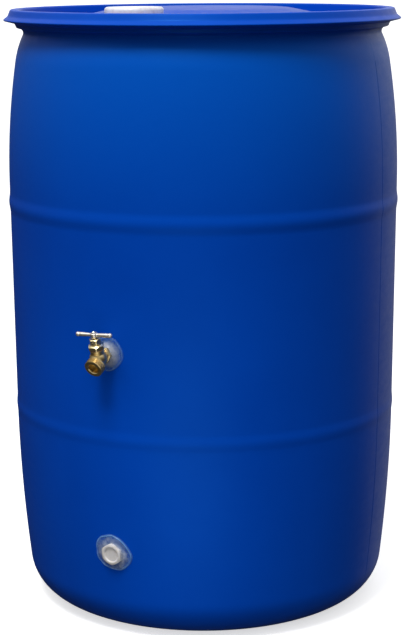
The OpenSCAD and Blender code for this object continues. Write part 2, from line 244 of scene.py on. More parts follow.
def plain_material(name, colour, other, roughness, scale):
    """A matt material of two close colours, for rubber, fibre, packing and tape."""
    add, coords, close = new_material(name)
    fleck = noise(add, coords, scale, detail=4)
    return close({
        "Base Color": blend_colours(add, spread(add, fleck, 0, 1), colour, other),
        "Roughness": spread(add, fleck, roughness, roughness + 0.1),
        "Normal": bumped(add, (fleck, 0.0002, 0.3))})


def sealant_material():
    """Clear silicone: milky where it is thick, with a painted highlight on the bead along its edge."""
    add, coords, close = new_material("clear_silicone")
    cloud = noise(add, coords, 160, detail=5, roughness=0.6)
    ripple = noise(add, coords, 260, detail=3)
    thickness = add("ShaderNodeAttribute", attribute_name="thickness").outputs["Fac"]
    # The bead attribute carries a painted highlight on the edge bead
    bead = add("ShaderNodeAttribute", attribute_name="bead").outputs["Fac"]
    milky = combined(add, "MULTIPLY", thickness, spread(add, cloud, 0.6, 1.4))
    film = blend_colours(add, spread(add, milky, 0, 1, 0.2, 0.9), (0.12, 0.27, 0.55), (0.4, 0.44, 0.54))
    # Painted highlight: a pale bright blue where the edge bead would catch the light
    return close({
        "Base Color": blend_colours(add, bead, film, (0.22, 0.5, 0.95)),
        "Roughness": 0.3,
        "Subsurface Weight": 0.25,
        "Subsurface Radius": (0.003, 0.003, 0.004),
        "Subsurface Scale": 1.0,
        "Coat Weight": 0.3,
        "Coat Roughness": 0.22,
        "Alpha": combined(add, "MAXIMUM", spread(add, milky, 0.1, 0.8, 0.0, 0.85),
            spread(add, bead, 0, 0.5, 0, 1)),
        "Normal": bumped(add, (ripple, 0.0005, 0.3), (cloud, 0.0003, 0.3))})


def floor_material():
    """A plain pale studio floor."""
    add, coords, close = new_material("studio_floor")
    fleck = noise(add, coords, 30, detail=3)
    return close({
        "Base Color": blend_colours(add, fleck, (0.86, 0.86, 0.86), (0.88, 0.88, 0.88)),
        "Roughness": 0.9,
        "Emission Color": (1, 1, 1, 1),
        "Emission Strength": 0.6})


drum_blue = drum_material()
bung_white = moulded_plastic("bung_polypropylene", (0.84, 0.83, 0.86), (0.62, 0.6, 0.62), 0.3, glow=0.1)
plug_ivory = moulded_plastic("plug_nylon", (0.74, 0.72, 0.72), (0.6, 0.56, 0.5), 0.38, glow=0.15)
cast_brass = brass_material("cast_brass", (0.92, 0.72, 0.36), (0.56, 0.4, 0.15), 0.27, 0.24, 900)
bright_brass = brass_material("turned_brass", (0.98, 0.86, 0.52), (0.8, 0.62, 0.3), 0.22, 0.12, 2400)
handle_brass = brass_material("handle_brass", (0.98, 0.92, 0.84), (0.85, 0.74, 0.58), 0.34, 0.2, 1200)
screw_steel = steel_material()
gasket_rubber = plain_material("gasket_rubber", (0.02, 0.02, 0.02), (0.04, 0.04, 0.04), 0.6, 700)
fibre = plain_material("red_fibre", (0.3, 0.07, 0.04), (0.22, 0.05, 0.03), 0.7, 900)
graphite_packing = plain_material("graphite_packing", (0.07, 0.07, 0.07), (0.12, 0.12, 0.12), 0.75, 1500)
tape_white = plain_material("thread_tape", (0.85, 0.85, 0.85), (0.7, 0.7, 0.7), 0.5, 1200)
silicone = sealant_material()

# ---- Mesh helpers ----


def polar(centre, r, degrees):
    return np.array(centre, float) + r * np.array([math.cos(rad(degrees)), math.sin(rad(degrees))])


def arc(centre, r, start, end, steps):
    return [polar(centre, r, start + (end - start) * i / steps) for i in range(steps + 1)]


def line(start, end, steps):
    """The points between two ends, without the ends."""
    start, end = np.array(start, float), np.array(end, float)
    return [start + (end - start) * i / steps for i in range(1, steps)]


def rounded(points, radius, steps=4):
    """A line of points whose inner corners are rounded to at most that radius."""
    points = [np.array(p, float) for p in points]
    result = [points[0]]
    for before, corner, after in zip(points, points[1:], points[2:]):
        to_before = before - corner
        to_after = after - corner
        reach = min(radius, 0.45 * np.linalg.norm(to_before), 0.45 * np.linalg.norm(to_after))
        start = corner + to_before / np.linalg.norm(to_before) * reach
        end = corner + to_after / np.linalg.norm(to_after) * reach
        for i in range(steps + 1):
            t = i / steps
            result.append((1 - t) ** 2 * start + 2 * t * (1 - t) * corner + t ** 2 * end)
    result.append(points[-1])
    return result


def strip_faces(columns, rows):
    """Quads between rings of vertices, on from the last ring to the first."""
    faces = []
    for row in range(rows):
        a = row * columns
        b = (row + 1) % rows * columns
        for column in range(columns):
            after = (column + 1) % columns
            faces.append((a + column, a + after, b + after, b + column))
    return faces


def lathe(profile, sides=96, angles=None, shape=None):
    """A surface turned about Z from a profile of (r, z) points, whose ends may be on the axis.

    shape(r, z, angle) may return other r and z, for threads, hexagons and unevenness.
    """
    angles = [TURN * i / sides for i in range(sides)] if angles is None else angles
    verts, faces, rings = [], [], []
    for r, z in profile:
        if r < TINY:
            rings.append((len(verts), 1))
            verts.append((0, 0, z))
            continue
        rings.append((len(verts), len(angles)))
        for angle in angles:
            ring_r, ring_z = shape(r, z, angle) if shape else (r, z)
            verts.append((ring_r * math.cos(angle), ring_r * math.sin(angle), ring_z))
    for (a, a_count), (b, b_count) in zip(rings, rings[1:]):
        for column in range(len(angles)):
            after = (column + 1) % len(angles)
            if a_count == 1:
                faces.append((a, b + after, b + column))
            elif b_count == 1:
                faces.append((a + column, a + after, b))
            else:
                faces.append((a + column, a + after, b + after, b + column))
    return verts, faces


def closed_lathe(profile, sides=96, shape=None):
    """A ring turned about Z, whose profile runs round and back to its start."""
    verts, _ = lathe(profile, sides, shape=shape)
    return verts, strip_faces(sides, len(profile))


def new_object(name, data):
    piece = bpy.data.objects.new(name, data)
    bpy.context.scene.collection.objects.link(piece)
    return piece


def in_metres(place):
    return Matrix.Translation(place.translation * MM) @ place.to_3x3().to_4x4()


def make_object(name, *parts, place=None, material=None, smooth_angle=32):
    """One mesh object, in metres, from parts of (vertices, faces) in millimetres."""
    mesh = bpy.data.meshes.new(name)
    verts, faces = [], []
    for part_verts, part_faces in parts:
        first = len(verts)
        verts.extend(part_verts)
        faces.extend(tuple(first + i for i in face) for face in part_faces)
    points = np.array(verts, float) * MM
    mesh.from_pydata(points.tolist(), [], faces)
    if place is not None:
        mesh.transform(in_metres(place))
    build = bmesh.new()
    build.from_mesh(mesh)
    bmesh.ops.remove_doubles(build, verts=build.verts, dist=WELD_DISTANCE)
    bmesh.ops.recalc_face_normals(build, faces=build.faces)
    build.to_mesh(mesh)
    build.free()
    piece = new_object(name, mesh)
    if material is not None:
        mesh.materials.append(material)
    shade(piece, smooth_angle)
    return piece


def shade(piece, smooth_angle):
    """Smooth shading, apart from edges sharper than the angle."""
    piece.data.shade_smooth()
    piece.data.set_sharp_from_angle(angle=rad(smooth_angle))


def coat(piece, material, smooth_angle):
    """One material all over a piece that was cut or joined, and its shading."""
    piece.data.materials.clear()
    piece.data.materials.append(material)
    shade(piece, smooth_angle)


def apply_modifiers(piece):
    """Turns the piece's modifiers into its own mesh."""
    bpy.context.view_layer.update()
    graph = bpy.context.evaluated_depsgraph_get()
    mesh = bpy.data.meshes.new_from_object(piece.evaluated_get(graph))
    piece.modifiers.clear()
    piece.data = mesh


def combine(piece, operation, *tools):
    """Cuts tools from the piece, or joins them to it, as true solids, and removes the tools."""
    for tool in tools:
        modifier = piece.modifiers.new("combine", "BOOLEAN")
        modifier.operation = operation
        modifier.solver = "EXACT"
        modifier.object = tool
    apply_modifiers(piece)
    for tool in tools:
        bpy.data.objects.remove(tool)


def cast_solid(piece, voxel, rounds):
    """Melts overlapping solids into one casting with soft fillets."""
    remesh = piece.modifiers.new("remesh", "REMESH")
    remesh.mode = "VOXEL"
    remesh.voxel_size = voxel * MM
    soften = piece.modifiers.new("soften", "SMOOTH")
    soften.factor = 0.5
    soften.iterations = rounds
    apply_modifiers(piece)


def block(name, size, centre, place, turn=0.0, bevel=0.0):
    """A box in a place's own axes, to cut from a piece or join to it."""
    mesh = bpy.data.meshes.new(name)
    build = bmesh.new()
    bmesh.ops.create_cube(build, size=MM)
    bmesh.ops.scale(build, vec=size, verts=build.verts)
    if bevel:
        bmesh.ops.bevel(build, geom=list(build.edges), offset=bevel * MM, segments=3, profile=0.5,
            affect="EDGES")
    bmesh.ops.rotate(build, cent=(0, 0, 0), matrix=Matrix.Rotation(rad(turn), 3, "Z"),
        verts=build.verts)
    bmesh.ops.translate(build, vec=Vector(centre) * MM, verts=build.verts)
    build.transform(in_metres(place))
    build.to_mesh(mesh)
    build.free()
    return new_object(name, mesh)


def put(piece, body, slot_name, *nodes):
    """The piece rides on a body and stands for CAD nodes, which it hides. slot_name is not used."""
    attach(piece, body)
    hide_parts(*nodes)


def thread_wave(z, angle, pitch, flat=0.25):
    """The height of a right-hand thread from 0 at its root to 1 at its crest."""
    phase = (z / pitch - angle / TURN) % 1
    rise = (1 - 2 * flat) / 2
    if phase < rise:
        return phase / rise
    if phase < rise + flat:
        return 1.0
    if phase < 2 * rise + flat:
        return 1 - (phase - rise - flat) / rise
    return 0.0


def fade(z, start, end, run):
    """1 between start and end, and down to 0 within a run of them."""
    return max(0.0, min(1.0, (z - start) / run, (end - z) / run))


def outside_thread(thread_r, depth, pitch, start, end, run, flat=0.25):
    """The shape of a thread that is cut into a lathe's points at one radius, from start to end."""
    def threaded(r, z, angle):
        if abs(r - thread_r) > SAME_R:
            return r, z
        deep = fade(z, start, end, run)
        return r - depth * deep * (1 - thread_wave(z, angle, pitch, flat)), z

    return threaded


def rod(r, bottom, top):
    """The profile of a plain rod."""
    return [(0, bottom), (r, bottom), (r, top), (0, top)]


# ---- Places ----


def frame_at(origin, axis, side=(1, 0, 0)):
    """A placement with its Z along the axis and its X near the side direction."""
    z = Vector(axis).normalized()
    x = Vector(side)
    x = (x - z * x.dot(z)).normalized()
    y = z.cross(x)
    rotation = Matrix((x, y, z)).transposed()
    return Matrix.Translation(Vector(origin)) @ rotation.to_4x4()


def axis_at(y):
    return Matrix.Translation((0, y, 0))


# ---- Drum ----

# The wall: a straight cone from LOW_Z to HIGH_Z, and the long arcs below and above it
WALL = 4
WALL_LOW_R = 288.7
WALL_HIGH_R = 291
LOW_Z = 315
LOW_R = 2350
FOOT_R = 64
HIGH_Z = RIM_Z - 249
HIGH_R = 1100
HIGH_TURN = 9
SHOULDER_R = 140
SHOULDER_TURN = 26.2
NECK_R = 7

# The rim: a step over the neck, a thin lip and a steep outer face
LIP_R = 1.4
LIP_CENTRE = (290.8, RIM_Z - 15)
LIP_SLOPE = 14
LIP_TOP_NORMAL = 49
LIP_ROOT = ((273.8, RIM_Z - 26.4), (276.4, RIM_Z - 20))
RIM_KINK = (286, RIM_Z - 9.5)
RIM_CORNER_R = 282.2
RIM_EDGE_R = 3
RIM_IN_R = 269.5

# The gutter inside the rim, the base and the hoops: each hoop's height, half width and rise
GUTTER_Z = RIM_Z - 18.2
GUTTER_R = 5
RING_IN_R = 204
BASE_RISE = 10
BASE_SLOPE_W = 12
HOOPS = ((300, 14, 0.9), (RIM_Z - 281, 16, 1.7))

# The head: a crowned plateau and a skirt that slopes down to the gutter
CROWN_Z = RIM_Z + 2.2
PLATEAU_R = 126
PLATEAU_DROP = 1.8
SKIRT_R = 216
SKIRT_TOP = (133, RIM_Z - 0.8)
INNER_CORNER_R = 8

foot_turn = math.degrees(math.asin((LOW_Z - FOOT_R) / (LOW_R - FOOT_R)))
low_centre = np.array([WALL_LOW_R - LOW_R, LOW_Z])
foot_centre = polar(low_centre, LOW_R - FOOT_R, -foot_turn)
high_centre = np.array([WALL_HIGH_R - HIGH_R, HIGH_Z])
shoulder_centre = polar(high_centre, HIGH_R - SHOULDER_R, HIGH_TURN)
neck_centre = polar(shoulder_centre, SHOULDER_R + NECK_R, SHOULDER_TURN)


def hoop_rise(z):
    """How far the rolling hoops stand out of the wall at a height."""
    rise = 0.0
    for centre_z, half_w, height in HOOPS:
        t = (z - centre_z) / half_w
        if abs(t) < 1:
            rise += height * (1 + math.cos(math.pi * t)) / 2
    return rise


def wall_radius(z):
    """The drum's outer radius at a height on its wall, without the hoops."""
    if z < LOW_Z:
        return low_centre[0] + math.sqrt(LOW_R ** 2 - (z - LOW_Z) ** 2)
    return WALL_LOW_R + (WALL_HIGH_R - WALL_LOW_R) * (z - LOW_Z) / (HIGH_Z - LOW_Z)


def wall_outline():
    """The wall from the foot to the shoulder: two long arcs, a straight cone and the hoops."""
    foot_top = polar(low_centre, LOW_R, -foot_turn)
    points = []
    z = foot_top[1] + 6
    while z < HIGH_Z:
        near_hoop = any(abs(z - centre_z) < half_w + 3 for centre_z, half_w, _ in HOOPS)
        points.append(np.array([wall_radius(z) + hoop_rise(z), z]))
        z += 2 if near_hoop else 8
    return points


def drum_outline():
    """The outside from the middle of the base to the flat of the gutter inside the rim."""
    base = rounded([(0, BASE_RISE), (RING_IN_R - BASE_SLOPE_W, BASE_RISE), (RING_IN_R, 0),
        (foot_centre[0], 0)], 5, 4)
    lip_bottom = polar(LIP_CENTRE, LIP_R, LIP_SLOPE - 90)
    lip_top = polar(LIP_CENTRE, LIP_R, LIP_TOP_NORMAL)
    face_middle = (np.array(RIM_KINK) + (RIM_CORNER_R, RIM_Z)) / 2
    inner_edge = (RIM_IN_R + RIM_EDGE_R, RIM_Z)
    return (
        base[:1] + line(base[0], base[1], 12) + base[1:-1]
        + arc(foot_centre, FOOT_R, -90, -foot_turn, 14)
        + wall_outline()
        + arc(high_centre, HIGH_R, 0, HIGH_TURN, 20)[1:]
        + arc(shoulder_centre, SHOULDER_R, HIGH_TURN, SHOULDER_TURN, 10)[1:]
        + arc(neck_centre, NECK_R, 180 + SHOULDER_TURN, 95, 10)
        + rounded([polar(neck_centre, NECK_R, 95), *LIP_ROOT, lip_bottom], 1.8, 5)[1:-1]
        + line(np.array(LIP_ROOT[1]) + (lip_bottom - LIP_ROOT[1]) * 0.25, lip_bottom, 4)
        + arc(LIP_CENTRE, LIP_R, LIP_SLOPE - 90, LIP_TOP_NORMAL, 10)
        + rounded([lip_top, RIM_KINK, face_middle], 2, 5)[1:-1]
        + rounded([face_middle, (RIM_CORNER_R, RIM_Z), inner_edge], 5, 8)[:-1]
        + arc((RIM_IN_R + RIM_EDGE_R, RIM_Z - RIM_EDGE_R), RIM_EDGE_R, 90, 180, 6)
        + arc((RIM_IN_R - GUTTER_R, GUTTER_Z + GUTTER_R), GUTTER_R, 0, -90, 6))


def inside_outline():
    """The inside from the middle of the base up to the flat under the gutter."""
    corner_z = GUTTER_Z - WALL - INNER_CORNER_R
    corner_x = (polar(shoulder_centre, SHOULDER_R - WALL, SHOULDER_TURN)
        @ polar((0, 0), 1, SHOULDER_TURN) - INNER_CORNER_R
        - corner_z * math.sin(rad(SHOULDER_TURN))) / math.cos(rad(SHOULDER_TURN))
    return (
        [(0, BASE_RISE + WALL), (RING_IN_R - BASE_SLOPE_W + 2, BASE_RISE + WALL), (RING_IN_R + 2, WALL)]
        + arc(foot_centre, FOOT_R - WALL, -90, -foot_turn, 10)
        + arc(low_centre, LOW_R - WALL, -foot_turn * 0.9, 0, 12)
        + arc(high_centre, HIGH_R - WALL, 0, HIGH_TURN * 0.95, 12)
        + arc(shoulder_centre, SHOULDER_R - WALL, HIGH_TURN, SHOULDER_TURN, 8)
        + arc((corner_x, corner_z), INNER_CORNER_R, SHOULDER_TURN, 90, 8))


def soft_min(a, b, k):
    """The smaller of two heights, with the corner between them rounded."""
    h = max(k - abs(a - b), 0) / k
    return min(a, b) - h * h * k / 4


# Each hole in the head, with its pocket and threaded neck, and then its bung and gasket
HOLES = (
    {"name": "inlet", "y": INLET_Y, "pocket_r": 47, "neck_r": 39.5, "neck_z": low("inlet_gasket")[2],
     "bore_r": 35.15, "pitch": 6.0, "groove": 1.5,
     "thread_r": 35, "thread_depth": 1.6, "skirt_in_r": 31, "flange_r": 41, "edge_r": 4.5,
     "gasket_in_r": 35.3, "gasket_out_r": 39.2},
    {"name": "rear", "y": REAR_Y, "pocket_r": 42, "neck_r": 34, "neck_z": low("rear_gasket")[2],
     "bore_r": 29.95, "pitch": 2.309, "groove": 0.9,
     "thread_r": 29.8, "thread_depth": 0.9, "skirt_in_r": 26, "flange_r": 36, "edge_r": 2.0,
     "gasket_in_r": 30.1, "gasket_out_r": 33.7},
)
NECK_BOTTOM = RIM_Z - 42
NECK_FILLET = 2.5
POCKET_SLOPE = 3.2
THREAD_ROW = 0.5
TAP_HOLE_R = 10.9
DRAIN_HOLE_R = 13.5
# The head's mesh: sides round a bung's hole, and the width of the fine rings round its pocket
HOLE_SIDES = 120
POCKET_MARGIN = 9


def head_height(x, y):
    """The height of the head's outside: crowned plateau, skirt, gutter and the bungs' pockets."""
    r = math.hypot(x, y)
    plateau = CROWN_Z - PLATEAU_DROP * (r / PLATEAU_R) ** 2
    slope = (SKIRT_TOP[1] - GUTTER_Z) / (SKIRT_R - SKIRT_TOP[0])
    skirt = SKIRT_TOP[1] - (r - SKIRT_TOP[0]) * slope
    z = soft_min(plateau, skirt, 1.2)
    for hole in HOLES:
        d = math.hypot(x, y - hole["y"])
        z = soft_min(z, GUTTER_Z + POCKET_SLOPE * (d - hole["pocket_r"]), 5)
    return -soft_min(-z, -GUTTER_Z, 2.2)


def head_surface(outer_ring, drop):
    """A triangle mesh of the head up to its outer ring, lowered by a drop, with holes for necks."""
    outer_r = math.hypot(*outer_ring[0])
    points = list(outer_ring)
    edges = [(i, (i + 1) % len(points)) for i in range(len(points))]
    # Rings of points from one radius to another, close together where the head bends
    spans = [(0, 118, 12), (118, 134, 2), (134, 212, 6), (212, 222, 2), (222, outer_r - 3, 8)]
    radii = [r for start, end, step in spans for r in np.arange(start, end, step)]
    for r in radii:
        count = max(1, round(TURN * r / 6))
        for angle in (TURN * i / count for i in range(count)):
            x, y = r * math.cos(angle), r * math.sin(angle)
            if all(math.hypot(x, y - hole["y"]) > hole["pocket_r"] + POCKET_MARGIN for hole in HOLES):
                points.append((x, y))
    for hole in HOLES:
        edge_r = hole["neck_r"] + NECK_FILLET
        d = edge_r
        while d < hole["pocket_r"] + POCKET_MARGIN:
            first = len(points)
            for i in range(HOLE_SIDES):
                angle = TURN * i / HOLE_SIDES
                point = (d * math.cos(angle), hole["y"] + d * math.sin(angle))
                if d == edge_r or math.hypot(*point) < outer_r - 2:
                    points.append(point)
            if d == edge_r:
                edges += [(first + i, first + (i + 1) % HOLE_SIDES) for i in range(HOLE_SIDES)]
            d += 1.0
    flat, _, triangles, *_ = delaunay_2d_cdt([Vector(p) for p in points], edges, [], 0, TINY)
    kept = []
    for triangle in triangles:
        centre = sum((flat[i] for i in triangle), Vector((0, 0))) / len(triangle)
        if all((centre - Vector((0, hole["y"]))).length > hole["neck_r"] + NECK_FILLET - 0.02
               for hole in HOLES):
            kept.append(tuple(triangle))
    return [(p.x, p.y, head_height(p.x, p.y) - drop) for p in flat], kept


def neck_surface(hole):
    """A bung's neck, from the pocket's floor up, down the threaded bore and back under the head."""
    under = GUTTER_Z - WALL
    neck_r, neck_z, bore_r = hole["neck_r"], hole["neck_z"], hole["bore_r"]
    outer = (arc((neck_r + NECK_FILLET, GUTTER_Z + NECK_FILLET), NECK_FILLET, 270, 180, 5)
        + rounded([(neck_r, GUTTER_Z + NECK_FILLET), (neck_r, neck_z), (bore_r, neck_z),
            (bore_r, neck_z - 3)], 0.9, 3)[1:])
    rows = int((neck_z - 3 - NECK_BOTTOM - 3) / THREAD_ROW)
    bore = line((bore_r, neck_z - 3), (bore_r, NECK_BOTTOM + 3), rows)
    lower = (rounded([(bore_r, NECK_BOTTOM + 3), (bore_r, NECK_BOTTOM), (neck_r, NECK_BOTTOM),
            (neck_r, under - NECK_FILLET)], 0.9, 3)
        + arc((neck_r + NECK_FILLET, under - NECK_FILLET), NECK_FILLET, 180, 90, 5)[1:])

    def threaded(r, z, angle):
        if r > bore_r + SAME_R:
            return r, z
        deep = fade(z, NECK_BOTTOM + 2, neck_z - 2, 2)
        return r + hole["groove"] * deep * thread_wave(z, angle, hole["pitch"]), z

    verts, faces = lathe(outer + bore + lower, HOLE_SIDES, shape=threaded)
    return [(x, y + hole["y"], z) for x, y, z in verts], faces


# The mould's parting lines: their angles and half width in degrees, and their height
PARTING_ANGLES = (0, 180)
PARTING_WIDTH = 0.16
PARTING_HEIGHT = 0.35
# How far the wall stands back, so that its parting lines stay inside the drum's box
PARTING_SETBACK = PARTING_HEIGHT * 0.8
# How deep the shallow waves of the wall are
SETTLE = 0.35
# Where the uneven wall starts and ends, and the run within which it comes and goes
UNEVEN_BOTTOM = 25
UNEVEN_TOP = RIM_Z - 40
UNEVEN_RUN = 40


def uneven(r, z, angle):
    """The wall with its parting lines, and with the shallow waves that a cooled moulding has."""
    if z > UNEVEN_TOP or z < UNEVEN_BOTTOM:
        return r, z
    eased = min(1, (UNEVEN_TOP - z) / UNEVEN_RUN, (z - UNEVEN_BOTTOM) / UNEVEN_RUN)
    # The three waves together reach 1.95
    wave = (math.sin(2 * angle + 0.6) * math.sin(z / 140)
        + 0.6 * math.sin(3 * angle + z / 210 + 1.1)
        + 0.35 * math.sin(7 * angle + 0.4) * math.sin(z / 61 + 2)) / 1.95
    inward = SETTLE * (1 - wave) / 2
    degrees = math.degrees(angle) % 360
    nearest = min(abs((degrees - seam + 180) % 360 - 180) for seam in PARTING_ANGLES)
    ridge = PARTING_HEIGHT * max(0, 1 - nearest / PARTING_WIDTH)
    return r + (ridge - inward - PARTING_SETBACK) * eased, z


def drum_angles():
    """Even steps around the drum, with close ones at its parting lines."""
    near = {(seam + steps * PARTING_WIDTH) % 360 for seam in PARTING_ANGLES for steps in (-2, -1, 1, 2)}
    return [rad(degrees) for degrees in sorted(near | set(range(360)))]


def ring_points(point, angles):
    return [(point[0] * math.cos(a), point[0] * math.sin(a)) for a in angles]


def build_drum():
    angles = drum_angles()
    outside = drum_outline()
    inside = inside_outline()
    drum = make_object("drum",
        lathe(outside, angles=angles, shape=uneven),
        lathe(inside, angles=angles),
        head_surface(ring_points(outside[-1], angles), 0),
        head_surface(ring_points(inside[-1], angles), WALL),
        *(neck_surface(hole) for hole in HOLES))
    drills = [make_object("drill", lathe(rod(r, -30, 20), 64), place=place)
        for r, place in ((TAP_HOLE_R, TAP_PLACE), (DRAIN_HOLE_R, DRAIN_PLACE))]
    combine(drum, "DIFFERENCE", *drills)
    coat(drum, drum_blue, 35)
    put(drum, "drum", "drum_plastic", "drum_shell")


# ---- Places on the wall ----

DRAIN_TILT = math.asin((LOW_Z - DRAIN_Z) / LOW_R)
DRAIN_AXIS = Vector((0, -math.cos(DRAIN_TILT), -math.sin(DRAIN_TILT)))
OUTLET = mounts["hose_outlet"]
SPOUT_AXIS = Vector(OUTLET["axis"])
HOSE_THREAD_H = OUTLET["dims"]["length_mm"]
SPOUT_MOUTH = Vector(OUTLET["pos_m"]) / MM + SPOUT_AXIS * HOSE_THREAD_H / 2
TAP_PLACE = frame_at((0, -TAP_WALL_R, VALVE.z), (0, -1, 0))
STEM_PLACE = frame_at(VALVE, STEM_AXIS)
SPOUT_PLACE = frame_at(SPOUT_MOUTH, SPOUT_AXIS)
DRAIN_PLACE = frame_at((0, -wall_radius(DRAIN_Z), DRAIN_Z), DRAIN_AXIS)

# ---- Bungs ----

# The cross bars in a bung's recess, and the low step round it
BAR_W = 5
BAR_DROP = 1.6
RECESS_LIP = 0.7


def bung_solid(hole):
    """A hollow screw bung: threaded skirt, rounded flange and a recess with cross bars for a wrench."""
    bottom, top = low(hole["name"] + "_bung")[2], high(hole["name"] + "_bung")[2]
    flange_bottom = high(hole["name"] + "_gasket")[2]
    thread_r, skirt_in = hole["thread_r"], hole["skirt_in_r"]
    flange_r, edge_r = hole["flange_r"], hole["edge_r"]
    recess_r = skirt_in - 3.5
    recess_floor = flange_bottom + 2.5
    inner_top = recess_floor - 3.5
    rows = int((flange_bottom - 2 - bottom) / THREAD_ROW)
    skirt = ([(0, inner_top)] + rounded([(0, inner_top), (skirt_in, inner_top), (skirt_in, bottom),
            (thread_r, bottom), (thread_r, bottom + 2)], 1.0, 3)[1:-1]
        + [(thread_r, bottom + 2)] + line((thread_r, bottom + 2), (thread_r, flange_bottom - 1), rows)
        + [(thread_r, flange_bottom - 1), (thread_r, flange_bottom)])
    edge = arc((flange_r - edge_r, top - edge_r), edge_r, 0, 90, 8)
    flange = (rounded([(thread_r, flange_bottom), (flange_r, flange_bottom), edge[0]], 1.1, 4)[1:-1]
        + edge + rounded([edge[-1], (recess_r + 4.5, top), (recess_r + 3.8, top - RECESS_LIP),
            (recess_r + 1.2, top - RECESS_LIP), (recess_r + 0.5, top - 1.2),
            (recess_r - 0.4, recess_floor), (0, recess_floor)], 1.1, 4)[1:])

    threaded = outside_thread(thread_r, hole["thread_depth"], hole["pitch"], bottom + 1.5,
        flange_bottom - 0.6, 1.5)
    place = axis_at(hole["y"])
    bung = make_object(hole["name"] + "_bung_piece", lathe(skirt + flange, 120, shape=threaded), place=place)
    bar_size = (2 * (recess_r + 1.5), BAR_W, top - BAR_DROP - recess_floor + 1)
    bar_centre = (0, 0, recess_floor - 1 + bar_size[2] / 2)
    bars = [block("bar", bar_size, bar_centre, place, turn, bevel=0.7) for turn in (0, 90)]
    combine(bung, "UNION", *bars)
    coat(bung, bung_white, 30)
    return bung


def gasket_ring(hole):
    """A flat rubber ring whose outer edge bulges a little under the flange."""
    node = hole["name"] + "_gasket"
    bottom, top = low(node)[2], high(node)[2]
    in_r, out_r = hole["gasket_in_r"], hole["gasket_out_r"]
    centre_z = (bottom + top) / 2
    half = (top - bottom) / 2
    outer = [(out_r - half * 0.5 + half * 0.5 * math.cos(t), centre_z + half * math.sin(t))
        for t in np.linspace(-math.pi / 2, math.pi / 2, 9)]
    inner = [(in_r + 0.3, top), (in_r, top - 0.3), (in_r, bottom + 0.3), (in_r + 0.3, bottom)]
    return make_object(node + "_ring", closed_lathe(outer + inner, 96), place=axis_at(hole["y"]),
        material=gasket_rubber)


def build_bungs():
    for hole in HOLES:
        put(bung_solid(hole), hole["name"] + "_bung", "bung_plastic", hole["name"] + "_bung")
    for hole in HOLES:
        put(gasket_ring(hole), hole["name"] + "_seal", "gasket_rubber", hole["name"] + "_gasket")


# ---- Tap ----


def hexagon_r(flats, angle, corner, turn):
    """The radius of a hexagon with slightly rounded corners, at an angle."""
    along = (angle - turn) % (TURN / 6) - TURN / 12
    sharp = flats / 2 / math.cos(along)
    limit = flats / 2 / math.cos(TURN / 12) - corner
    return soft_min(sharp, limit, 2 * corner)


def hexagon(flats, bottom, top, face, corner=0.35, turn=0.0, bottom_drop=0.25):
    """A hexagon whose corners are turned to a cone round its end faces.

    face is the radius of its end faces as a part of half its flats, and bottom_drop the most that
    the cone takes off at the bottom. Returns the outer profile and its shape for a lathe.
    """
    face_r = flats / 2 * face
    corner_r = flats / 2 / math.cos(TURN / 12)
    radii = [face_r + (corner_r - face_r) * t for t in (0.25, 0.5, 0.75, 1)]
    profile = ([(face_r, bottom)] + [(r, bottom) for r in radii]
        + [(r, top) for r in reversed(radii)] + [(face_r, top)])

    def hexed(r, z, angle):
        if r <= face_r + TINY:
            return r, z
        side = min(r, hexagon_r(flats, angle, corner, turn))
        drop = (side - face_r) * math.tan(rad(30))
        if z > (bottom + top) / 2:
            return side, top - drop
        return side, bottom + min(drop, bottom_drop)

    return profile, hexed


# Threads: 14 to the inch on the tap's shank and the drain plug, 11.5 on the hose outlet
PIPE_PITCH = 1.814
HOSE_PITCH = 2.209
# Heights along the stem, from the valve's centre
BODY_TOP = 13.5
HEX_BOTTOM = 14.5
HEX_TOP = 21
BONNET_TOP = 26.5
NUT_BOTTOM = 22.5
NUT_TOP = 30
HUB_BOTTOM = 31.5
ARM_HEIGHT = 35.2
HUB_TOP = 38.5
TEE_LENGTH = 55.5
TEE_TURN = 5


